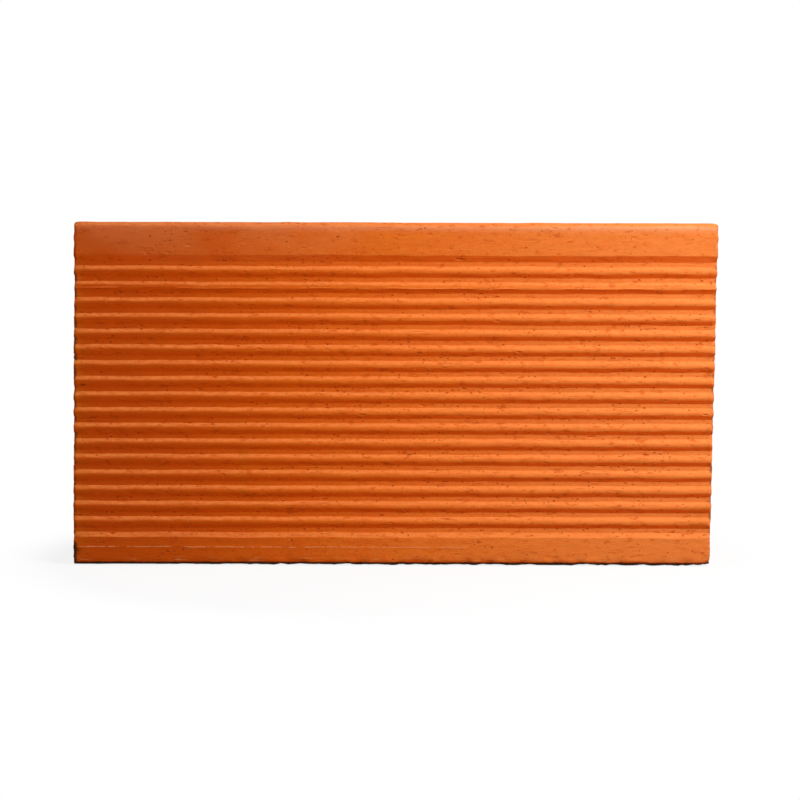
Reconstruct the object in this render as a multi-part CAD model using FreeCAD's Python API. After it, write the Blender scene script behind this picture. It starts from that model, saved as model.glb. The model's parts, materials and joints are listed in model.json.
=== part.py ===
import FreeCAD, Part
import math
import os

# Hollow clay partition brick: one fired piece, extruded along X and cut to length by wires.
# It stands on its long lower bed: +X along the length, -Y towards the front face, +Z up,
# with the origin at the middle of the underside. Sizes are millimetres.

# Overall size
LENGTH = 332.0
HEIGHT = 178.0
THICKNESS = 80.0
# The wires leave both ends leaning alike: the top of an end lies this far past its foot, along +X.
END_LEAN = 2.0

# Plaster key: level grooves along both large faces, between two plain bands
TOP_BAND = 17.2
BOTTOM_BAND = 14.9
GROOVE_COUNT = 18
GROOVE_DEPTH = 1.5
# How much of a groove's height its upper and lower sloping sides take; its flat floor is the rest.
UPPER_SLOPE_RUN = 3.4
LOWER_SLOPE_RUN = 2.6
# The sides of a crest would meet this far in front of the bands; rounding brings it level with them.
CREST_STAND = 0.45

# Rounded edges
ARRIS_RADIUS = 3.3
BAND_EDGE_RADIUS = 1.2
CREST_RADIUS = 2.8
GROOVE_FLOOR_RADIUS = 0.6

# Cells, which run from end to end
CELLS_ACROSS = 2
CELLS_HIGH = 3
FACE_WALL = 8.0
BED_WALL = 8.0
WEB = 6.5
CELL_CORNER_RADIUS = 4.0

groove_pitch = (HEIGHT - TOP_BAND - BOTTOM_BAND) / GROOVE_COUNT
cell_width = (THICKNESS - 2 * FACE_WALL - (CELLS_ACROSS - 1) * WEB) / CELLS_ACROSS
cell_height = (HEIGHT - 2 * BED_WALL - (CELLS_HIGH - 1) * WEB) / CELLS_HIGH


def groove_floor_corners(top):
    """Corners (depth, height, radius) of the floor of the groove that starts at height top."""
    return [
        (GROOVE_DEPTH, top - UPPER_SLOPE_RUN, GROOVE_FLOOR_RADIUS),
        (GROOVE_DEPTH, top - groove_pitch + LOWER_SLOPE_RUN, GROOVE_FLOOR_RADIUS),
    ]


def large_face_corners():
    """Corners (depth, height, radius) of a large face, from its upper arris to its lower one."""
    first_top = HEIGHT - TOP_BAND
    corners = [(0.0, HEIGHT, ARRIS_RADIUS), (0.0, first_top, BAND_EDGE_RADIUS)]
    corners += groove_floor_corners(first_top)
    for groove in range(1, GROOVE_COUNT):
        top = first_top - groove * groove_pitch
        corners.append((-CREST_STAND, top, CREST_RADIUS))
        corners += groove_floor_corners(top)
    corners += [(0.0, BOTTOM_BAND, BAND_EDGE_RADIUS), (0.0, 0.0, ARRIS_RADIUS)]
    return corners


def section_outline():
    """Corners (y, z, radius) round the section: down the front face, then up the back face."""
    face = large_face_corners()
    front = [(depth - THICKNESS / 2, height, radius) for depth, height, radius in face]
    back = [(THICKNESS / 2 - depth, height, radius) for depth, height, radius in reversed(face)]
    return front + back


def cell_outline(column, row):
    """Corners (y, z, radius) of the cell in this column, from the front, and row, from below."""
    front = -THICKNESS / 2 + FACE_WALL + column * (cell_width + WEB)
    foot = BED_WALL + row * (cell_height + WEB)
    places = [
        (front, foot),
        (front + cell_width, foot),
        (front + cell_width, foot + cell_height),
        (front, foot + cell_height),
    ]
    return [(y, z, CELL_CORNER_RADIUS) for y, z in places]


def rounded_face(outline, x):
    """Flat face at this x whose corners (y, z, radius) are tangent arcs joined by lines."""
    points = [FreeCAD.Vector(x, y, z) for y, z, _ in outline]
    arcs = []
    for index, (_, _, radius) in enumerate(outline):
        corner = points[index]
        to_last = (points[index - 1] - corner).normalize()
        to_next = (points[(index + 1) % len(points)] - corner).normalize()
        half_angle = to_last.getAngle(to_next) / 2
        reach = radius / math.tan(half_angle)
        middle = radius / math.sin(half_angle) - radius
        start = corner + to_last * reach
        peak = corner + (to_last + to_next).normalize() * middle
        end = corner + to_next * reach
        arcs.append((start, peak, end))
    edges = []
    for index, (start, peak, end) in enumerate(arcs):
        edges.append(Part.LineSegment(arcs[index - 1][2], start).toShape())
        edges.append(Part.Arc(start, peak, end).toShape())
    return Part.Face(Part.Wire(edges))


def extruded_column():
    """The clay as it leaves the die, long enough for both cuts: the section with its cells."""
    reach = LENGTH + 2 * abs(END_LEAN)
    along = FreeCAD.Vector(reach, 0, 0)
    column = rounded_face(section_outline(), -reach / 2).extrude(along)
    cells = [
        rounded_face(cell_outline(across, up), -reach / 2).extrude(along)
        for across in range(CELLS_ACROSS)
        for up in range(CELLS_HIGH)
    ]
    return column.cut(cells)


def length_between_wires():
    """The block between the two leaning wire cuts, which clears the section all round."""
    clearance = 10.0
    lean_rate = END_LEAN / HEIGHT
    corners = []
    for side, z in ((-1, -clearance), (1, -clearance), (1, HEIGHT + clearance), (-1, HEIGHT + clearance)):
        x = side * LENGTH / 2 + lean_rate * (z - HEIGHT / 2)
        corners.append(FreeCAD.Vector(x, -THICKNESS / 2 - clearance, z))
    outline = Part.makePolygon(corners + corners[:1])
    return Part.Face(outline).extrude(FreeCAD.Vector(0, THICKNESS + 2 * clearance, 0))


brick = extruded_column().common(length_between_wires()).Solids[0]

os.makedirs("parts", exist_ok=True)
brick.exportStep("parts/brick.step")
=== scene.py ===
import itertools
import json
import math

import bmesh
import bpy
import numpy as np
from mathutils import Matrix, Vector
from mathutils.geometry import delaunay_2d_cdt


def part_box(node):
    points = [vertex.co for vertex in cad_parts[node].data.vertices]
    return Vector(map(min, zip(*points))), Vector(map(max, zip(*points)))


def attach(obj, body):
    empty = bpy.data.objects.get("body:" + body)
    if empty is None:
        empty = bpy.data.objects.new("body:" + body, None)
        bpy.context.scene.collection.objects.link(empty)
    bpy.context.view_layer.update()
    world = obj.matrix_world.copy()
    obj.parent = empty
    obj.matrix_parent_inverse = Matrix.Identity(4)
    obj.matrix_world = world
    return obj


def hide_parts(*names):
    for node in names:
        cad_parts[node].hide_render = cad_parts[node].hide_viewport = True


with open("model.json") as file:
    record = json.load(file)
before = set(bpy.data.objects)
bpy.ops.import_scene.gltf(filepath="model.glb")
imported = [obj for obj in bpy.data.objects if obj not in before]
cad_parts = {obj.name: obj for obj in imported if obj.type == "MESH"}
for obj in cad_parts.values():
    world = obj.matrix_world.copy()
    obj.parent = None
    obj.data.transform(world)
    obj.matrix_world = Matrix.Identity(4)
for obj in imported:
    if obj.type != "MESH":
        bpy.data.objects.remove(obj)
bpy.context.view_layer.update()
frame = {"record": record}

# A hollow clay partition brick, fired and wire cut. The CAD solid gives its sizes, and this script
# rebuilds its skin as one closed mesh that carries the marks of the die, the wires and handling.
# Lengths are millimetres up to the finished mesh and the materials, where MM turns them to metres.
MM = 0.001

# The CAD solid's box, and the sizes of its section
low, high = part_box("brick")
END_LEAN = 2.0
LENGTH = (high.x - low.x) / MM - END_LEAN
HEIGHT = (high.z - low.z) / MM
THICKNESS = (high.y - low.y) / MM
HALF_LENGTH = LENGTH / 2
HALF_THICKNESS = THICKNESS / 2
TOP_BAND = 17.2
BOTTOM_BAND = 14.9
GROOVE_COUNT = 18
GROOVE_DEPTH = 1.5
UPPER_SLOPE_RUN = 3.4
LOWER_SLOPE_RUN = 2.6
CREST_STAND = 0.45
ARRIS_RADIUS = 3.3
BAND_EDGE_RADIUS = 1.2
CREST_RADIUS = 2.8
GROOVE_FLOOR_RADIUS = 0.6
CELL_CORNER_RADIUS = 4.0
GROOVE_TOP = HEIGHT - TOP_BAND
GROOVE_PITCH = (GROOVE_TOP - BOTTOM_BAND) / GROOVE_COUNT
# The record's opening boxes stand this far in from the cells' walls.
CELL_BOX_INSET = 1.25

# Spacing of the mesh: along the outline of each kind of surface, and along the length
FRONT_SPACING = 0.85
BACK_SPACING = 1.7
BED_SPACING = 4.5
CELL_SPACING = 7.0
CAP_SPACING = 1.5
# Shares of CAP_SPACING: how far a cap's points scatter, and how clear of the outlines they stay
CAP_SCATTER = 0.25
CAP_CLEARANCE = 0.45
MERGE_DISTANCE = 1e-7
ARC_STEP = math.radians(17)
END_STATIONS = (0.0, 0.35, 0.8, 1.4, 2.2, 3.3, 4.8)
STATION_SPACING = 2.0
CELL_END_STATIONS = (0.0, 0.8, 2.0, 4.0, 8.0, 14.0)
CELL_STATION_SPACING = 16.0

SEED = 8183
random = np.random.default_rng(SEED)


# ---------------------------------------------------------------- outlines of the section

def groove_floor_corners(top, spacing):
    """Corners (depth, z, radius, spacing) of the floor of the groove that starts at this height."""
    return [
        (GROOVE_DEPTH, top - UPPER_SLOPE_RUN, GROOVE_FLOOR_RADIUS, spacing),
        (GROOVE_DEPTH, top - GROOVE_PITCH + LOWER_SLOPE_RUN, GROOVE_FLOOR_RADIUS, spacing),
    ]


def large_face_corners(spacing):
    """Corners (depth, z, radius, spacing) of a large face, from its upper arris down."""
    corners = [
        (0.0, HEIGHT, ARRIS_RADIUS, spacing),
        (0.0, GROOVE_TOP, BAND_EDGE_RADIUS, spacing),
    ]
    corners += groove_floor_corners(GROOVE_TOP, spacing)
    for groove in range(1, GROOVE_COUNT):
        top = GROOVE_TOP - groove * GROOVE_PITCH
        corners.append((-CREST_STAND, top, CREST_RADIUS, spacing))
        corners += groove_floor_corners(top, spacing)
    corners.append((0.0, BOTTOM_BAND, BAND_EDGE_RADIUS, spacing))
    corners.append((0.0, 0.0, ARRIS_RADIUS, BED_SPACING))
    return corners


def outer_corners():
    """Corners (y, z, radius, spacing of the line that follows): down the front and up the back."""
    near, far = large_face_corners(FRONT_SPACING), large_face_corners(BACK_SPACING)
    front = [(d - HALF_THICKNESS, z, r, step) for d, z, r, step in near]
    back = [(HALF_THICKNESS - d, z, r, BACK_SPACING) for d, z, r, _ in reversed(far)]
    back[-1] = back[-1][:3] + (BED_SPACING,)
    return front + back


def cell_corners(box):
    """Corners (y, z, radius, spacing) of the cell that holds this opening box."""
    _, front, foot = [value / MM - CELL_BOX_INSET for value in box[0]]
    _, back, top = [value / MM + CELL_BOX_INSET for value in box[1]]
    places = [(front, foot), (back, foot), (back, top), (front, top)]
    return [(y, z, CELL_CORNER_RADIUS, CELL_SPACING) for y, z in places]


def turned(vector, angle):
    """A flat vector turned by this angle."""
    cos, sin = math.cos(angle), math.sin(angle)
    return np.array((vector[0] * cos - vector[1] * sin, vector[0] * sin + vector[1] * cos))


def corner_arc(last, corner, following, radius):
    """Points of the arc that rounds a corner between its two neighbours."""
    to_last = (last - corner) / np.linalg.norm(last - corner)
    to_next = (following - corner) / np.linalg.norm(following - corner)
    half_angle = math.acos(np.clip(np.dot(to_last, to_next), -1, 1)) / 2
    inward = (to_last + to_next) / np.linalg.norm(to_last + to_next)
    centre = corner + inward * radius / math.sin(half_angle)
    turn = math.pi - 2 * half_angle
    side = math.copysign(1, to_last[0] * to_next[1] - to_last[1] * to_next[0])
    steps = max(2, round(turn / ARC_STEP))
    angles = [side * turn * (0.5 - k / steps) for k in range(steps + 1)]
    return [centre + turned(-inward * radius, angle) for angle in angles]


def sampled_outline(corners):
    """Points (y, z) round a closed outline of lines and tangent arcs."""
    places = [np.array(corner[:2]) for corner in corners]
    count = len(places)
    arcs = [
        corner_arc(places[k - 1], places[k], places[(k + 1) % count], corners[k][2])
        for k in range(count)
    ]
    points = []
    for k, arc in enumerate(arcs):
        points += arc
        start, end = arc[-1], arcs[(k + 1) % count][0]
        pieces = max(1, round(np.linalg.norm(end - start) / corners[k][3]))
        points += [start + (end - start) * piece / pieces for piece in range(1, pieces)]
    return np.array(points)


def stations(end_steps, spacing):
    """Places along the length, close together near both ends, with an even number of gaps."""
    reach = HALF_LENGTH - end_steps[-1]
    gaps = 2 * round(reach / spacing)
    middle = np.linspace(-reach, reach, gaps + 1)
    ends = HALF_LENGTH - np.array(end_steps[:-1])
    return np.concatenate((-ends, middle, ends[::-1]))


def lean(z):
    """How far the leaning wire cuts carry a point at this height along X."""
    return END_LEAN * (z / HEIGHT - 0.5)


# ---------------------------------------------------------------- the closed skin

class Skin:
    """The brick's points and faces as they are gathered."""

    def __init__(self):
        self.points = []
        self.faces = []

    def add(self, x, y, z):
        """A new point, by its distance from the middle of its own level; gives its index."""
        self.points.append((x + lean(z), y, z))
        return len(self.points) - 1


def add_tube(skin, outline, places, is_coarse):
    """The surface that an outline sweeps along the places; gives its points' indices at both ends.
    Coarse columns hold every other place, and meet their finer neighbours in five-sided faces."""
    columns = []
    for (y, z), coarse in zip(outline, is_coarse):
        step = 2 if coarse else 1
        columns.append({k: skin.add(places[k], y, z) for k in range(0, len(places), step)})
    for this, following in zip(columns, columns[1:] + columns[:1]):
        step = max(2 if len(column) < len(places) else 1 for column in (this, following))
        for k in range(0, len(places) - 1, step):
            near = [this[j] for j in range(k, k + step + 1) if j in this]
            far = [following[j] for j in range(k, k + step + 1) if j in following]
            skin.faces.append(near + far[::-1])
    last = len(places) - 1
    return [column[0] for column in columns], [column[last] for column in columns]


def is_inside(points, outline):
    """Which points lie inside a closed outline."""
    inside = np.zeros(len(points), bool)
    for (y0, z0), (y1, z1) in zip(outline, np.roll(outline, -1, axis=0)):
        if z0 != z1:
            crosses = (points[:, 1] < z0) != (points[:, 1] < z1)
            crossing = y0 + (y1 - y0) * (points[:, 1] - z0) / (z1 - z0)
            inside ^= crosses & (points[:, 0] < crossing)
    return inside


def distance_to(points, outline):
    """Each point's distance to the nearest side of a closed outline."""
    nearest = np.full(len(points), np.inf)
    for start, end in zip(outline, np.roll(outline, -1, axis=0)):
        side = end - start
        along = np.clip((points - start) @ side / (side @ side), 0, 1)
        gap = np.linalg.norm(points - start - along[:, None] * side, axis=1)
        nearest = np.minimum(nearest, gap)
    return nearest


def in_clay(points, outlines):
    """Which points of the section lie in the clay: in the first outline, and in no cell."""
    clay = is_inside(points, outlines[0])
    for cell in outlines[1:]:
        clay &= ~is_inside(points, cell)
    return clay


def cap_points(outlines):
    """Scattered points (y, z) that fill a cut end between its outlines."""
    rows = np.arange(0, HEIGHT, CAP_SPACING * math.sqrt(3) / 2)
    columns = np.arange(-HALF_THICKNESS, HALF_THICKNESS, CAP_SPACING)
    shifts = [(k % 2) * CAP_SPACING / 2 for k in range(len(rows))]
    grid = np.array([(y + shift, z) for z, shift in zip(rows, shifts) for y in columns])
    grid += random.uniform(-CAP_SCATTER, CAP_SCATTER, grid.shape) * CAP_SPACING
    keep = in_clay(grid, outlines)
    for outline in outlines:
        keep &= distance_to(grid, outline) > CAP_SPACING * CAP_CLEARANCE
    return grid[keep]


def add_cap(skin, outlines, rims, x):
    """Fills the cut end at this place along the length; rims are the outlines' point indices."""
    filling = cap_points(outlines)
    flat = np.concatenate(outlines + [filling])
    indices = list(itertools.chain(*rims)) + [skin.add(x, y, z) for y, z in filling]
    sides = []
    first = 0
    for outline in outlines:
        count = len(outline)
        sides += [(first + k, first + (k + 1) % count) for k in range(count)]
        first += count
    made = delaunay_2d_cdt([Vector(point) for point in flat], sides, [], 0, MERGE_DISTANCE)
    places, triangles, sources = np.array(made[0]), made[2], made[3]
    centres = np.array([places[list(triangle)].mean(axis=0) for triangle in triangles])
    for triangle, wanted in zip(triangles, in_clay(centres, outlines)):
        if wanted:
            skin.faces.append([indices[sources[corner][0]] for corner in triangle])


def plain_skin():
    """The whole brick before any wear, as a closed bmesh in millimetres."""
    skin = Skin()
    outer = sampled_outline(outer_corners())
    openings = frame["record"]["physics"]["openings"]
    cells = [sampled_outline(cell_corners(box["box_m"])) for box in openings]
    places = stations(END_STATIONS, STATION_SPACING)
    behind_arris = outer[:, 0] > -HALF_THICKNESS + ARRIS_RADIUS * 1.5
    rims = [add_tube(skin, outer, places, behind_arris)]
    cell_places = stations(CELL_END_STATIONS, CELL_STATION_SPACING)
    for cell in cells:
        rims.append(add_tube(skin, cell, cell_places, np.zeros(len(cell), bool)))
    add_cap(skin, [outer] + cells, [rim[0] for rim in rims], -HALF_LENGTH)
    add_cap(skin, [outer] + cells, [rim[1] for rim in rims], HALF_LENGTH)
    shell = bmesh.new()
    points = [shell.verts.new(point) for point in skin.points]
    for face in skin.faces:
        shell.faces.new([points[index] for index in face])
    bmesh.ops.recalc_face_normals(shell, faces=shell.faces)
    return shell


# ---------------------------------------------------------------- wear and marks

# Waves of noise: how high in millimetres, how long a feature is along X, Y and Z, and a seed.
# A length of FLAT is so long that the noise doesn't change along that axis.
FLAT = 900
GROOVE_WANDER = ((0.16, (34, 90, 30), 1), (0.22, (12, 90, 5), 2), (0.17, (5, 90, 2.8), 3))
SKIN_WAVES = (
    (0.10, (45, 45, 22), 11),
    (0.09, (9, 6, 5), 12),
    (0.06, (18, 4, 1.6), 13),
    (0.05, (3.5, 3, 2.2), 14),
)
TORN_WAVES = ((0.30, (FLAT, 4, 9), 21), (0.26, (FLAT, 1.6, 3.2), 22))
CHIP_WAVES = ((1.0, (4.2, 3, 3), 51), (0.5, (1.9, 2, 1.6), 52))
# The skin and the ends lie this far inside the solid on average, so that few waves reach its box.
SKIN_SINK = 0.28
END_SINK = 0.42

# Marks that can be told apart: places along X from the middle and up Z, in millimetres
LIP_HEIGHT = GROOVE_TOP - 2 * GROOVE_PITCH - 0.75
LIP_RISE = 0.20
LIP_REACH = 0.5
LIP_GROOVE_OFFSET = 0.8
SCRATCH_HEIGHT = 9.8
SCRATCH_END = 38.0
SCRATCH_RISE = 0.14
SCRATCH_REACH = 0.9
SCRATCH_FADE = 4
DENT_HEIGHT = 7.0
DENT_REACH = (3.4, 3.6)
DENT_DEPTH = 0.9
BROKEN_CORNER = 5.0
BROKEN_DEPTH = 3.4
CHIP_RISE = 0.48
CHIP_SINK = 0.16
BURR_RISE = 0.26
EDGE_WEAR = 0.34
TORN_GROOVE_DEPTH = 0.75

# Pits and crumbs on each large face; a pit is longer along X, the way the clay was pushed.
PIT_COUNT = 150
CRUMB_COUNT = 60
PIT_CLUSTERS = 26
CLUSTERED_SHARE = 0.55
CLUSTER_REACH = (9, 2.2)
# The faces this near to a spot, along X and up, are divided.
REFINED_MARGIN = (0.9, 0.4)

SHARP_ANGLE = math.radians(55)
KNOT_PRIMES = np.array((73856093, 19349663, 83492791))
SEED_PRIME = 2654435761
MIXING_PRIME = 1274126177


def value_noise(points, size, seed):
    """Smooth noise from -1 to 1; size is how long its features are along X, Y and Z."""
    cell = points / np.array(size)
    base = np.floor(cell).astype(np.int64)
    blend = cell - base
    blend = blend * blend * (3 - 2 * blend)
    total = np.zeros(len(points))
    for corner in itertools.product((0, 1), repeat=3):
        along_x, along_y, along_z = ((base + np.array(corner)) * KNOT_PRIMES).T
        mixed = along_x ^ along_y ^ along_z ^ seed * SEED_PRIME
        mixed = (mixed ^ mixed >> 13) * MIXING_PRIME
        value = (mixed ^ mixed >> 16 & 0xFFFF) & 0xFFFF
        weight = np.prod(np.where(corner, blend, 1 - blend), axis=1)
        total += weight * (value / 32767.5 - 1)
    return total


def waves(points, level, rows):
    """A level with waves of noise added."""
    for height, size, seed in rows:
        level = level + height * value_noise(points, size, seed)
    return level


def ramp(values, start, end):
    """0 before start, 1 past end and a smooth rise between; start may be the larger."""
    share = np.clip((values - start) / (end - start), 0, 1)
    return share * share * (3 - 2 * share)


def bump_at(values, place, reach):
    """1 at this place, falling smoothly to 0 at this reach from it."""
    return np.clip(1 - ((values - place) / reach) ** 2, 0, 1) ** 2


class Surface:
    """Where each point of the plain skin lies, as the marks need it."""

    def __init__(self, shell):
        shell.normal_update()
        self.points = np.array([point.co for point in shell.verts])
        self.normals = np.array([point.normal for point in shell.verts])
        self.x, self.y, self.z = self.points.T
        self.level_x = self.x - lean(self.z)
        self.end_gap = HALF_LENGTH - np.abs(self.level_x)
        self.from_face = HALF_THICKNESS - np.abs(self.y)
        self.from_bed = np.minimum(self.z, HEIGHT - self.z)
        self.is_front = self.y < 0
        self.on_large_face = self.from_face < ARRIS_RADIUS
        self.on_skin = self.on_large_face | (self.from_bed < ARRIS_RADIUS)


def groove_wander(at):
    """How far the grooves stray up or down, where the clay dragged in the die."""
    grooved = ramp(at.z, BOTTOM_BAND - 6, BOTTOM_BAND) * ramp(at.z, GROOVE_TOP + 6, GROOVE_TOP)
    return np.where(at.on_large_face, waves(at.points, 0.0, GROOVE_WANDER) * grooved, 0)


def skin_relief(at):
    """How far the large faces and the beds stand out, from slow waves down to drag marks."""
    return np.where(at.on_skin, waves(at.points, -SKIN_SINK, SKIN_WAVES), 0)


def end_relief(at):
    """The wire's torn face: how far each point near an end is drawn in along X."""
    near = ramp(at.end_gap, 5.0, 0.0)
    torn = waves(at.points, END_SINK, TORN_WAVES)
    torn += 0.55 * np.maximum(value_noise(at.points, (FLAT, 3, 2.2), 23) - 0.30, 0)
    return -np.sign(at.level_x) * np.maximum(torn, 0) * near


def end_edge_relief(at):
    """The skin's edge at the wire cuts: worn back, with a burr just inside it and torn grooves."""
    uneven = value_noise(at.points, (FLAT, 20, 3.2), 31)
    worn = -EDGE_WEAR * ramp(at.end_gap, 1.3, 0.0) * (1 + 0.8 * uneven)
    burr = BURR_RISE * bump_at(at.end_gap, 1.9, 1.5) * np.maximum(uneven + 0.5, 0)
    in_groove = ramp(at.from_face, 0.7, 1.4)
    torn = ramp(value_noise(at.points, (FLAT, 20, 4.5), 32), 0.0, 0.6)
    torn_out = -TORN_GROOVE_DEPTH * in_groove * torn * ramp(at.end_gap, 2.6, 0.3)
    return np.where(at.on_skin, worn + burr + torn_out, 0)


def line_marks(at):
    """A thin lip that the die left below the second ridge, and a scratch on the lower band."""
    sway = 0.16 * value_noise(at.points, (17, 90, FLAT), 41)
    broken = ramp(value_noise(at.points, (9, 90, FLAT), 42), -0.75, -0.35)
    lip = LIP_RISE * bump_at(at.z, LIP_HEIGHT + sway, LIP_REACH)
    lip -= LIP_RISE * bump_at(at.z, LIP_HEIGHT + LIP_GROOVE_OFFSET + sway, LIP_REACH)
    scratch = SCRATCH_RISE * bump_at(at.z, SCRATCH_HEIGHT + sway, SCRATCH_REACH)
    scratch *= ramp(at.x, SCRATCH_END + SCRATCH_FADE, SCRATCH_END)
    return np.where(at.on_large_face & at.is_front, (lip + scratch) * broken, 0)


def arris_marks(at):
    """Chips and stuck crumbs along the lower arrises, and fainter ones along the upper ones."""
    lower = at.on_large_face * ramp(at.z, 5.5, 2.0) * ramp(at.x, -130, -80)
    chips = waves(at.points, 0.0, CHIP_WAVES)
    upper = at.on_large_face * ramp(at.z, HEIGHT - 2.5, HEIGHT - 0.8)
    soft = value_noise(at.points, (9, 5, 5), 53)
    return lower * (CHIP_RISE * chips - CHIP_SINK) + upper * 0.07 * soft


def corner_marks(at):
    """A dent at the foot of the left end, and a broken corner at the foot of the right one."""
    reach_x, reach_z = DENT_REACH
    gap = np.hypot((at.x + HALF_LENGTH - 0.5) / reach_x, (at.z - DENT_HEIGHT) / reach_z)
    dent = -DENT_DEPTH * ramp(gap, 1.0, 0.2)
    broken = np.maximum(0, BROKEN_CORNER - (HALF_LENGTH - 1 - at.x) - at.z * 1.1)
    corner = -0.9 * np.minimum(broken, BROKEN_DEPTH)
    return np.where(at.on_large_face & at.is_front, dent + corner, 0)


def scattered(count, clusters):
    """Places on a large face, thicker in a few clusters."""
    whole_face = (-HALF_LENGTH, 0), (HALF_LENGTH, HEIGHT)
    middles = random.uniform(*whole_face, (clusters, 2))
    cluster = random.integers(clusters, size=count)
    near = middles[cluster] + random.normal(0, CLUSTER_REACH, (count, 2))
    spread = random.uniform(*whole_face, (count, 2))
    places = np.where(random.random((count, 1)) < CLUSTERED_SHARE, near, spread)
    return np.clip(places, (5 - HALF_LENGTH, 3), (HALF_LENGTH - 5, HEIGHT - 3))


def made_spots():
    """Pits and crumbs of both large faces: (front or back, x, z, reach along X, reach up, rise)."""
    spots = []
    for side in (-1, 1):
        for x, z in scattered(PIT_COUNT, PIT_CLUSTERS):
            long = random.uniform(0.5, 1.1) * random.choice((1, 1, 1.6, 2.4))
            tall = random.uniform(0.35, 0.6)
            spots.append((side, x, z, long, tall, -random.uniform(0.25, 0.7)))
        for x, z in scattered(CRUMB_COUNT, PIT_CLUSTERS):
            size = random.uniform(0.4, 0.8)
            spots.append((side, x, z, size, size, random.uniform(0.12, 0.24)))
    return spots


def refine(shell, spots):
    """Divides the faces under each spot, so that the mesh can hold its shape."""
    shell.faces.ensure_lookup_table()
    centres = np.array([face.calc_center_median() for face in shell.faces])
    margin_x, margin_z = REFINED_MARGIN
    skin_y = HALF_THICKNESS - ARRIS_RADIUS
    on_side = {side: np.flatnonzero(side * centres[:, 1] > skin_y) for side in (-1, 1)}
    chosen = set()
    for side, x, z, long, tall, _ in spots:
        faces = on_side[side]
        near_x = np.abs(centres[faces, 0] - x) < long + margin_x
        near_z = np.abs(centres[faces, 2] - z) < tall + margin_z
        chosen.update(faces[near_x & near_z])
    edges = {edge for index in chosen for edge in shell.faces[index].edges}
    order = sorted(edges, key=lambda edge: edge.index)
    bmesh.ops.subdivide_edges(shell, edges=order, cuts=1, use_grid_fill=True)


def spot_relief(at, spots):
    """How far the pits go in and the crumbs stand out."""
    relief = np.zeros(len(at.points))
    for side, x, z, long, tall, rise in spots:
        near = (np.abs(at.x - x) < long * 1.6) & (np.abs(at.z - z) < tall * 1.6)
        near &= (at.y * side > 0) & at.on_large_face
        gap = np.hypot((at.x[near] - x) / long, (at.z[near] - z) / tall)
        rim = 0.12 * abs(rise) * bump_at(gap, 1.15, 0.4) if rise < 0 else 0
        relief[near] += rise * (1 - np.clip(gap, 0, 1) ** 2) ** 2 + rim
    return relief


def worn_skin():
    """The brick's skin in metres, with every mark, as a mesh."""
    shell = plain_skin()
    spots = made_spots()
    refine(shell, spots)
    at = Surface(shell)
    rise = skin_relief(at) + end_edge_relief(at) + line_marks(at) + arris_marks(at)
    rise = rise + corner_marks(at) + spot_relief(at, spots)
    points = at.points + at.normals * rise[:, None]
    points[:, 2] += groove_wander(at)
    points[:, 0] += end_relief(at)
    points = np.clip(points, np.array(low) / MM, np.array(high) / MM)
    for vertex, point in zip(shell.verts, points * MM):
        vertex.co = point
    mesh = bpy.data.meshes.new("fired_brick")
    many_sided = [face for face in shell.faces if len(face.verts) > 4]
    bmesh.ops.triangulate(shell, faces=many_sided)
    shell.to_mesh(mesh)
    shell.free()
    mesh.shade_smooth()
    mesh.set_sharp_from_angle(angle=SHARP_ANGLE)
    return mesh


# ---------------------------------------------------------------- materials

# Paints, as linear red, green, blue and alpha
CLAY = (0.74, 0.116, 0.002, 1)
CLAY_RED = (0.72, 0.090, 0.001, 1)
CLAY_DARK = (0.50, 0.058, 0.001, 1)
# A painted shade tint for what faces down
DOWNFACING_SHADE_RED = (0.86, 0.102, 0.0005, 1)
CLAY_PALE = (0.78, 0.172, 0.012, 1)
# Dust and painted sheen, on what faces up and on the lit right end
DUST_AND_SHEEN = (0.80, 0.225, 0.050, 1)
PINK_DUST = (0.78, 0.23, 0.075, 1)
# A painted highlight along the top arris
TOP_HIGHLIGHT_PALE = (0.82, 0.42, 0.24, 1)
CRUMB = (0.86, 0.34, 0.12, 1)
OLIVE = (0.50, 0.14, 0.004, 1)
SOOT = (0.33, 0.028, 0.001, 1)
# Dark brown for the painted shade at the grooves' ends and for the dent's patch
DARK_BROWN = (0.075, 0.016, 0.003, 1)
# A painted contact shadow along the foot
FOOT_CONTACT_SHADOW = (0.014, 0.004, 0.001, 1)

# Noise patterns: how long a feature is along X, Y and Z in millimetres, then detail and roughness.
# EVEN is so long that the pattern doesn't change along that axis.
EVEN = 900
CLOUDS = ((42, 42, 26), 3.0, 0.5)
STREAKS = ((26, 3.0, 0.75), 4.0, 0.6)
MOTTLE = ((3.2, 3.2, 1.5), 3.0, 0.6)
SPECKLE = ((1.5, 1.2, 0.9), 2.0, 0.6)
CLUSTERS = ((24, 24, 9), 2.0, 0.5)
RAGGED = ((1.4, 1.4, 0.7), 3.0, 0.5)
SMUDGES = ((5.5, 4.0, 2.4), 3.0, 0.6)
SCUFFS = ((11, 2.0, 0.55), 4.0, 0.65)
FLAKES = ((13, EVEN, 1.7), 4.0, 0.65)
TORN_CLAY = ((8, 2.4, 7), 5.0, 0.7)
SCRATCH_SWAY = ((22, EVEN, EVEN), 2.0, 0.5)
SCRATCH_GAPS = ((9, EVEN, EVEN), 3.0, 0.7)
# Noise for the painted shade at the grooves' ends
GROOVE_END_SHADE_NOISE = ((EVEN, 20, 3.6), 3.0, 0.7)
RAGGED_FOOT = ((5, 5, EVEN), 3.0, 0.5)
GRAIN = ((0.8, 0.7, 0.5), 4.0, 0.65)
DRAG = ((14, 1.5, 0.38), 3.0, 0.6)
ROUGH_CUT = ((2, 0.8, 2.6), 5.0, 0.7)

# Spots: the cell that may hold one along X, Y and Z in millimetres, and a spot's size in the cell
PITS = ((2.6, 2.0, 1.8), 0.26)
LONG_PITS = ((9.0, 2.5, 2.0), 0.20)
CRUMBS = ((2.6, 2.6, 2.3), 0.20)

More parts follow.
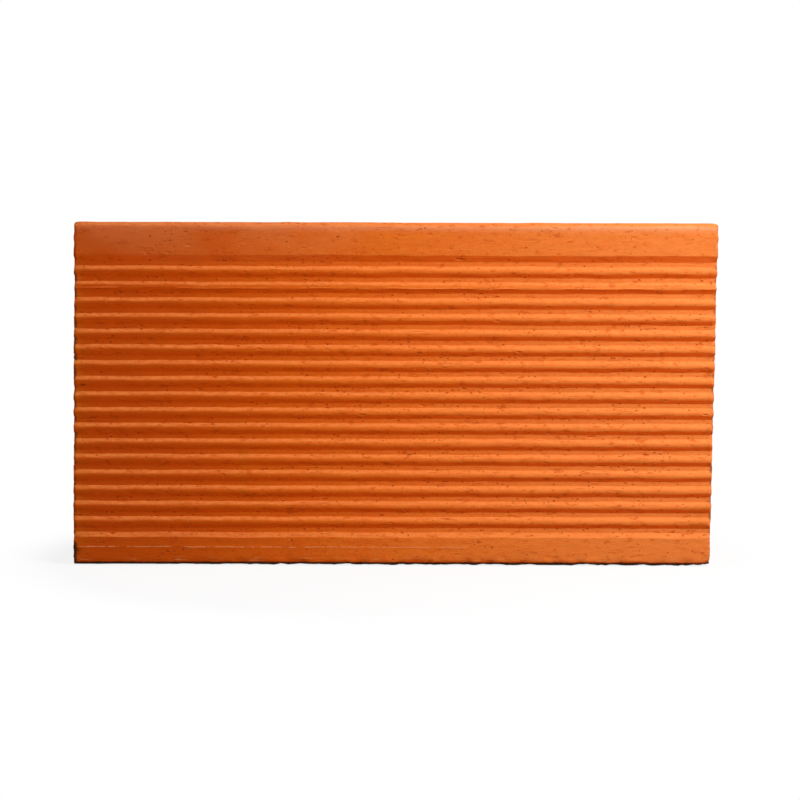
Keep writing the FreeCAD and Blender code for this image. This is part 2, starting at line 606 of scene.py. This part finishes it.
# Stains: a stretch of X and of Z and a soft edge, in millimetres, and how strong each is
STAINS = (
    ((-170, -160), (6, 160), 4.0, 0.35),
    ((-79, -76.6), (38, 60), 2.2, 0.5),
    ((153, 163), (15, 34), 5.0, 0.30),
)
PINK_BLOOM = ((-160, -20), (163, 190), 12)
DENT_DARK_PATCH = ((-170, -164.3), (-4, 12), 0.9)

# Where a layer starts and where it is full, in millimetres: along X, up Z, or behind a large face
# Painted shade darkens the left end, and painted light with some dust pales the right end:
SHADED_LEFT_END_X = (30, -170)
LIT_RIGHT_END_X = (-90, 180)
# A painted highlight along the top arris, stronger to the right:
TOP_HIGHLIGHT_X = (-200, 170)
TOP_HIGHLIGHT_Z = (171.5, 178.5)
FLAKES_Z = (5.5, 3.0)
# A painted contact shadow along the foot:
FOOT_LINE_Z = (1.7, 0.9)
FOOT_LINE_SHIFT = 1.2
INNER_DEPTH = (3.5, 5.0)
HIGH_GROUND_DEPTH = (0.9, 0.2)
# Painted shade in the grooves near the wire cuts: how deep, and how near the ends
GROOVE_END_SHADE_DEPTH = (0.6, 1.5)
GROOVE_END_SHADE_REACH = (2.6, 0.9)
SCRATCH_HALF_WIDTH = (0.42, 0.10)
SCRATCH_SWAY_HEIGHT = 0.9

BUMP_HEIGHT = 0.16
SPECULAR_LEVEL = 0.06


class Nodes:
    """A node tree, with short ways to add what the materials are made of."""

    def __init__(self, owner):
        owner.use_nodes = True
        self.tree = owner.node_tree

    def link(self, value, socket):
        """Links a socket to an input, or sets any other value on it."""
        if isinstance(value, bpy.types.NodeSocket):
            self.tree.links.new(value, socket)
        else:
            socket.default_value = value

    def add(self, kind, inputs=None, **settings):
        """A new node with these inputs and settings."""
        made = self.tree.nodes.new(kind)
        for name, value in settings.items():
            setattr(made, name, value)
        for key, value in (inputs or {}).items():
            self.link(value, made.inputs[key])
        return made

    def math(self, operation, *values):
        """The result of a Math node."""
        inputs = dict(enumerate(values))
        return self.add("ShaderNodeMath", inputs, operation=operation).outputs[0]

    def times(self, first, *others):
        """The product of some values."""
        for other in others:
            first = self.math("MULTIPLY", first, other)
        return first

    def without(self, mask):
        """1 where a mask is 0, and 0 where it is 1."""
        return self.math("SUBTRACT", 1.0, mask)

    def vector(self, operation, first, second=(0, 0, 0), output=0):
        """The result of a Vector Math node."""
        inputs = {0: first, 1: second}
        return self.add("ShaderNodeVectorMath", inputs, operation=operation).outputs[output]

    def ramp(self, value, start, end, low_value=0.0, high_value=1.0):
        """A smooth rise from one value to another as the input goes from start to end."""
        inputs = {
            "Value": value,
            "From Min": start,
            "From Max": end,
            "To Min": low_value,
            "To Max": high_value,
        }
        made = self.add("ShaderNodeMapRange", inputs, interpolation_type="SMOOTHSTEP")
        return made.outputs[0]

    def rise(self, length, span, low_value=0.0, high_value=1.0):
        """A smooth rise as a length in metres goes through a span given in millimetres."""
        start, end = span
        return self.ramp(length, start * MM, end * MM, low_value, high_value)

    def mixed(self, share, first, second):
        """A colour between two others."""
        made = self.add("ShaderNodeMix", data_type="RGBA", blend_type="MIX")
        self.link(share, made.inputs["Factor"])
        self.link(first, made.inputs[6])
        self.link(second, made.inputs[7])
        return made.outputs[2]

    def stretched(self, coordinates, lengths):
        """The coordinates divided by how long a feature is along each axis, in millimetres."""
        return self.vector("MULTIPLY", coordinates, [1 / (length * MM) for length in lengths])

    def noise(self, coordinates, pattern, output="Fac"):
        """A noise pattern: a value from 0 to 1, or the noise's colour."""
        lengths, detail, roughness = pattern
        inputs = {
            "Vector": self.stretched(coordinates, lengths),
            "Scale": 1.0,
            "Detail": detail,
            "Roughness": roughness,
        }
        return self.add("ShaderNodeTexNoise", inputs).outputs[output]

    def spots(self, coordinates, kind, chance):
        """1 in small scattered spots: each cell holds one by this chance."""
        lengths, size = kind
        place = self.stretched(coordinates, lengths)
        inputs = {"Vector": place, "Scale": 1.0, "Randomness": 1.0}
        cells = self.add("ShaderNodeTexVoronoi", inputs)
        draw = self.add("ShaderNodeSeparateColor", {0: cells.outputs["Color"]})
        wanted = self.math("LESS_THAN", draw.outputs[0], chance)
        reach = self.math("MULTIPLY_ADD", draw.outputs[1], size * 0.7, size * 0.4)
        near = self.math("SUBTRACT", reach, cells.outputs["Distance"])
        return self.times(wanted, self.ramp(near, 0.0, size * 0.3))

    def seen_directly(self):
        """1 for the camera's rays and for those that reflections and glass pass on."""
        path = self.add("ShaderNodeLightPath").outputs
        seen = self.math("MAXIMUM", path["Is Camera Ray"], path["Is Glossy Ray"])
        return self.math("MAXIMUM", seen, path["Is Transmission Ray"])


class Clay(Nodes):
    """The fired clay's node tree: the colour so far, and what its layers share."""

    def __init__(self, material):
        super().__init__(material)
        self.spot = self.add("ShaderNodeTexCoord").outputs["Object"]
        self.x, self.y, self.z = self.add("ShaderNodeSeparateXYZ", {0: self.spot}).outputs
        normal = self.add("ShaderNodeNewGeometry").outputs["Normal"]
        facing_x, _, self.facing_up = self.add("ShaderNodeSeparateXYZ", {0: normal}).outputs
        self.is_end = self.ramp(self.math("ABSOLUTE", facing_x), 0.6, 0.9)
        self.is_front = self.math("LESS_THAN", self.y, 0.0)
        # How far behind the nearer large face a point lies
        self.depth = self.math("SUBTRACT", HALF_THICKNESS * MM, self.math("ABSOLUTE", self.y))
        self.is_inner = self.rise(self.depth, INNER_DEPTH)
        self.is_skin = self.without(self.is_inner)
        self.high_ground = self.rise(self.depth, HIGH_GROUND_DEPTH)
        self.clouds, self.streaks, self.mottle, self.speckle = [
            self.noise(self.spot, pattern) for pattern in (CLOUDS, STREAKS, MOTTLE, SPECKLE)
        ]
        self.clusters = self.ramp(self.noise(self.spot, CLUSTERS), 0.40, 0.64, 0.08, 0.75)
        self.colour = self.mixed(self.ramp(self.clouds, 0.36, 0.62), CLAY_RED, CLAY)

    def lay(self, share, paint):
        """Lays a paint over the colour so far."""
        self.colour = self.mixed(share, self.colour, paint)

    def box_mask(self, x_span, z_span, soft):
        """1 inside a stretch of X and Z given in millimetres, fading over a soft edge."""
        sides = []
        for place, (start, end) in ((self.x, x_span), (self.z, z_span)):
            sides.append(self.rise(place, (start - soft, start + soft)))
            sides.append(self.rise(place, (end - soft, end + soft), 1.0, 0.0))
        return self.times(*sides)


def lay_ground(clay):
    """Slow clouds, drag streaks and a fine speckle."""
    clay.lay(clay.ramp(clay.streaks, 0.50, 0.80, 0.0, 0.50), CLAY_PALE)
    clay.lay(clay.ramp(clay.mottle, 0.50, 0.30, 0.0, 0.40), CLAY_RED)
    clay.lay(clay.ramp(clay.speckle, 0.35, 0.68, 0.0, 0.32), CLAY_PALE)
    clay.lay(clay.ramp(clay.speckle, 0.48, 0.28, 0.0, 0.28), SOOT)


def lay_dust_and_painted_light(clay):
    """Paler rubbed clay on what stands out, dust and painted sheen on what faces up, painted shade
    on the left end, painted light on the right end, a painted highlight along the top arris, and a
    painted shade tint on what faces down.
    """
    rubbed = clay.ramp(clay.mottle, 0.35, 0.7, 0.20, 0.45)
    clay.lay(clay.times(clay.high_ground, rubbed), CLAY_PALE)
    # Painted shade: the left end is darkened, as if the light fell off towards it.
    clay.lay(clay.rise(clay.x, SHADED_LEFT_END_X, 0.0, 0.84), CLAY_DARK)
    # Dust and painted sheen: what faces up is paled, as a light from above would brighten it.
    upward = clay.ramp(clay.facing_up, 0.15, 0.60)
    clay.lay(clay.times(upward, clay.ramp(clay.mottle, 0.30, 0.70, 0.45, 0.85)), DUST_AND_SHEEN)
    # Painted light with some dust: the right end is paled towards the side the light came from.
    lit_end = clay.rise(clay.x, LIT_RIGHT_END_X, 0.0, 0.85)
    clay.lay(clay.times(lit_end, clay.ramp(clay.mottle, 0.2, 0.8, 0.6, 1.0)), DUST_AND_SHEEN)
    # Painted highlight: a whitish band along the top arris, stronger to the right.
    along_top = clay.rise(clay.z, TOP_HIGHLIGHT_Z, 0.0, 0.75)
    towards_right = clay.rise(clay.x, TOP_HIGHLIGHT_X, 0.25, 1.0)
    clay.lay(clay.times(along_top, towards_right, clay.high_ground), TOP_HIGHLIGHT_PALE)
    # Painted shade tint: what faces down is coloured a deeper red, standing in for the light in its
    # shade.
    clay.lay(clay.ramp(clay.facing_up, -0.15, -0.50, 0.0, 0.85), DOWNFACING_SHADE_RED)


def lay_stains(clay):
    """A pink bloom at the upper left, and olive stains near both ends."""
    cloudy = clay.ramp(clay.clouds, 0.38, 0.60, 0.1, 0.32)
    clay.lay(clay.times(clay.box_mask(*PINK_BLOOM), cloudy), PINK_DUST)
    for x_span, z_span, soft, strength in STAINS:
        stain = clay.times(clay.box_mask(x_span, z_span, soft), strength)
        clay.lay(clay.times(stain, clay.ramp(clay.streaks, 0.35, 0.6)), OLIVE)


def lay_spots(clay):
    """Pits, smudges, scuffs and crumbs; gives where the pits and the crumbs are."""
    shake = clay.noise(clay.spot, RAGGED, "Color")
    shake = clay.vector("MULTIPLY", shake, (2.2 * MM, 0, 1.0 * MM))
    shaken = clay.vector("ADD", clay.spot, shake)
    pits = clay.spots(shaken, PITS, clay.clusters)
    long_pits = clay.spots(shaken, LONG_PITS, clay.times(clay.clusters, 0.3))
    all_pits = clay.math("MAXIMUM", pits, long_pits)
    clay.lay(clay.times(all_pits, 0.62), SOOT)
    clay.lay(clay.ramp(clay.noise(shaken, SMUDGES), 0.56, 0.70, 0.0, 0.55), CLAY_DARK)
    scuffs = clay.ramp(clay.noise(shaken, SCUFFS), 0.54, 0.67)
    clay.lay(clay.times(scuffs, clay.ramp(clay.clusters, 0.0, 0.6, 0.08, 0.40)), SOOT)
    crumbs = clay.spots(clay.spot, CRUMBS, clay.times(clay.clusters, 0.22))
    clay.lay(clay.times(crumbs, 0.3), CRUMB)
    return all_pits, crumbs


def lay_ends(clay):
    """The torn clay of the wire cuts, and the redder clay inside the cells."""
    torn = clay.ramp(clay.noise(clay.spot, TORN_CLAY), 0.35, 0.65)
    clay.lay(clay.times(clay.is_end, 0.7), clay.mixed(torn, CLAY_RED, CLAY_PALE))
    clay.lay(clay.times(clay.is_inner, 0.25), CLAY_RED)


def lay_flakes(clay):
    """Pale broken clay just above the lower arrises."""
    flakes = clay.ramp(clay.noise(clay.spot, FLAKES), 0.56, 0.66, 0.0, 0.55)
    clay.lay(clay.times(flakes, clay.rise(clay.z, FLAKES_Z), clay.high_ground), CRUMB)


def lay_scratch(clay):
    """The pale broken scratch along the left part of the lower band."""
    sway = clay.noise(clay.spot, SCRATCH_SWAY)
    height = clay.math("MULTIPLY_ADD", sway, SCRATCH_SWAY_HEIGHT * MM, clay.z)
    middle = (SCRATCH_HEIGHT + SCRATCH_SWAY_HEIGHT / 2) * MM
    off_line = clay.math("ABSOLUTE", clay.math("SUBTRACT", height, middle))
    line = clay.rise(off_line, SCRATCH_HALF_WIDTH)
    unbroken = clay.ramp(clay.noise(clay.spot, SCRATCH_GAPS), 0.40, 0.52, 0.0, 0.95)
    to_the_left = clay.math("LESS_THAN", clay.x, SCRATCH_END * MM)
    clay.lay(clay.times(line, unbroken, to_the_left, clay.is_front), PINK_DUST)


def lay_painted_shade_and_dent_patch(clay):
    """Painted shade in the grooves at the wire cuts, a painted contact shadow along the foot, and a
    dark patch in the dent.
    """
    # Painted shade: dark patches in the grooves near the wire cuts, darker the deeper the groove.
    off_level = clay.math("MULTIPLY_ADD", clay.z, -END_LEAN / HEIGHT, clay.x)
    level_x = clay.math("ABSOLUTE", clay.math("ADD", off_level, END_LEAN * 0.5 * MM))
    at_edge = clay.rise(level_x, [HALF_LENGTH - reach for reach in GROOVE_END_SHADE_REACH])
    in_groove = clay.rise(clay.depth, GROOVE_END_SHADE_DEPTH, 0.35, 1.0)
    shade_patches = clay.ramp(clay.noise(clay.spot, GROOVE_END_SHADE_NOISE), 0.42, 0.56, 0.0, 0.65)
    side_only = clay.without(clay.is_end)
    clay.lay(clay.times(at_edge, in_groove, shade_patches, side_only, clay.is_skin), DARK_BROWN)
    # Painted contact shadow: a near-black line along the foot.
    ragged = clay.noise(clay.spot, RAGGED_FOOT)
    ragged_z = clay.math("MULTIPLY_ADD", ragged, -FOOT_LINE_SHIFT * MM, clay.z)
    foot = clay.rise(ragged_z, FOOT_LINE_Z, 0.0, 0.95)
    clay.lay(clay.times(foot, side_only, clay.is_skin), FOOT_CONTACT_SHADOW)
    # A darker patch in the dent at the foot of the left end.
    clay.lay(clay.times(clay.box_mask(*DENT_DARK_PATCH), clay.is_skin, clay.is_front), DARK_BROWN)


def fine_relief(clay, pits, crumbs):
    """The normal of the relief that is too fine for the mesh."""
    grain = clay.noise(clay.spot, GRAIN)
    drag = clay.noise(clay.spot, DRAG)
    rough_cut = clay.noise(clay.spot, ROUGH_CUT)
    height = clay.math("MULTIPLY_ADD", drag, 0.55, clay.times(grain, 0.45))
    height = clay.math("SUBTRACT", height, pits)
    height = clay.math("MULTIPLY_ADD", crumbs, 0.6, height)
    height = clay.math("ADD", height, clay.times(rough_cut, 2.2, clay.is_end))
    inputs = {"Height": height, "Distance": BUMP_HEIGHT * MM, "Strength": 1.0}
    return clay.add("ShaderNodeBump", inputs).outputs[0]


def clay_material():
    """Fired clay: orange, dragged along X by the die, torn on its cut ends."""
    material = bpy.data.materials.new("fired_clay")
    clay = Clay(material)
    lay_ground(clay)
    lay_dust_and_painted_light(clay)
    lay_stains(clay)
    pits, crumbs = lay_spots(clay)
    lay_flakes(clay)
    lay_ends(clay)
    lay_scratch(clay)
    lay_painted_shade_and_dent_patch(clay)
    roughness = clay.ramp(clay.mottle, 0.3, 0.7, 0.52, 0.68)
    shader = clay.tree.nodes["Principled BSDF"].inputs
    clay.link(clay.colour, shader["Base Color"])
    clay.link(fine_relief(clay, pits, crumbs), shader["Normal"])
    clay.link(clay.math("MAXIMUM", roughness, clay.times(clay.is_end, 0.85)), shader["Roughness"])
    clay.link(SPECULAR_LEVEL, shader["Specular IOR Level"])
    return material


# ---------------------------------------------------------------- stage, light and camera

# The floor: its size, and from where to where it fades to white, in metres
FLOOR_SIZE = 6.0
FLOOR_CLEAR = 0.05
FLOOR_FADE = 0.22
# The share of the floor's own light and shade that the camera sees near the brick
FLOOR_SHADE = 0.15
FLOOR_PALE = (0.85, 0.85, 0.85, 1)
FLOOR_UNDERLIGHT = (0.34, 0.32, 0.30, 1)
WHITE = (1, 1, 1, 1)

FILL_STRENGTH = 0.34
KEY_PLACE = (0.52, -0.44, 0.60)
KEY_TARGET = (0.0, -0.04, 0.09)
KEY_SIZE = 0.30
KEY_WATTS = 7.9
CAMERA_PLACE = (0.0, -1.04, 0.155)
CAMERA_TARGET = (0.0031, -0.04, 0.0864)
CAMERA_LENS = 87.4
CAMERA_SENSOR = 36.0
CAMERA_ROLL = math.radians(0.18)


def floor_material():
    """A floor that the camera sees white with a faint shadow, and that throws less light back."""
    material = bpy.data.materials.new("studio_floor")
    floor = Nodes(material)
    floor.tree.nodes.remove(floor.tree.nodes["Principled BSDF"])
    spot = floor.add("ShaderNodeTexCoord").outputs["Object"]
    away = floor.ramp(floor.vector("LENGTH", spot, output="Value"), FLOOR_CLEAR, FLOOR_FADE)
    pale = floor.add("ShaderNodeBsdfDiffuse", {"Color": FLOOR_PALE}).outputs[0]
    dim = floor.add("ShaderNodeBsdfDiffuse", {"Color": FLOOR_UNDERLIGHT}).outputs[0]
    white = floor.add("ShaderNodeEmission", {"Color": WHITE, "Strength": 1.0}).outputs[0]
    whiteness = floor.math("MAXIMUM", away, 1 - FLOOR_SHADE)
    shown = floor.add("ShaderNodeMixShader", {0: whiteness, 1: pale, 2: white}).outputs[0]
    seen = floor.seen_directly()
    surface = floor.add("ShaderNodeMixShader", {0: seen, 1: dim, 2: shown}).outputs[0]
    floor.link(surface, floor.tree.nodes["Material Output"].inputs["Surface"])
    return material


def add_object(name, data):
    """A new object in the scene."""
    made = bpy.data.objects.new(name, data)
    bpy.context.scene.collection.objects.link(made)
    return made


def aimed(made, place, target):
    """Puts a lamp or camera at a place, facing a target, in metres."""
    made.location = place
    made.rotation_euler = (Vector(target) - Vector(place)).to_track_quat("-Z", "Y").to_euler()
    return made


def add_floor():
    """The level floor that the brick stands on."""
    mesh = bpy.data.meshes.new("floor")
    half = FLOOR_SIZE / 2
    corners = [(-half, -half, 0), (half, -half, 0), (half, half, 0), (-half, half, 0)]
    mesh.from_pydata(corners, [], [(0, 1, 2, 3)])
    mesh.materials.append(floor_material())
    add_object("floor", mesh)


def add_key():
    """The square softbox at the upper right."""
    lamp = bpy.data.lights.new("key_light", "AREA")
    lamp.size = KEY_SIZE
    lamp.energy = KEY_WATTS
    aimed(add_object("key_light", lamp), KEY_PLACE, KEY_TARGET)


def add_world():
    """A soft even fill, which the camera and reflections see as white."""
    world = bpy.data.worlds.new("studio")
    bpy.context.scene.world = world
    sky = Nodes(world)
    background = sky.tree.nodes["Background"].inputs
    sky.link(WHITE, background["Color"])
    strength = sky.ramp(sky.seen_directly(), 0.0, 1.0, FILL_STRENGTH, 1.0)
    sky.link(strength, background["Strength"])


def add_camera():
    """The camera that takes the photograph's view."""
    camera = bpy.data.cameras.new("camera")
    camera.lens = CAMERA_LENS
    camera.sensor_width = CAMERA_SENSOR
    made = aimed(add_object("camera", camera), CAMERA_PLACE, CAMERA_TARGET)
    made.rotation_euler.rotate_axis("Z", CAMERA_ROLL)
    bpy.context.scene.camera = made


# ---------------------------------------------------------------- the scene

brick = add_object("fired_brick", worn_skin())
# Flat stretches between the small arcs stay flat in the shading.
flatten = brick.modifiers.new("flat_shading", "WEIGHTED_NORMAL")
flatten.mode = "FACE_AREA"
flatten.keep_sharp = True
brick.data.materials.append(clay_material())
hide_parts("brick")
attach(brick, "root")
add_floor()
add_world()
add_key()
add_camera()
bpy.context.scene.view_settings.view_transform = "Standard"
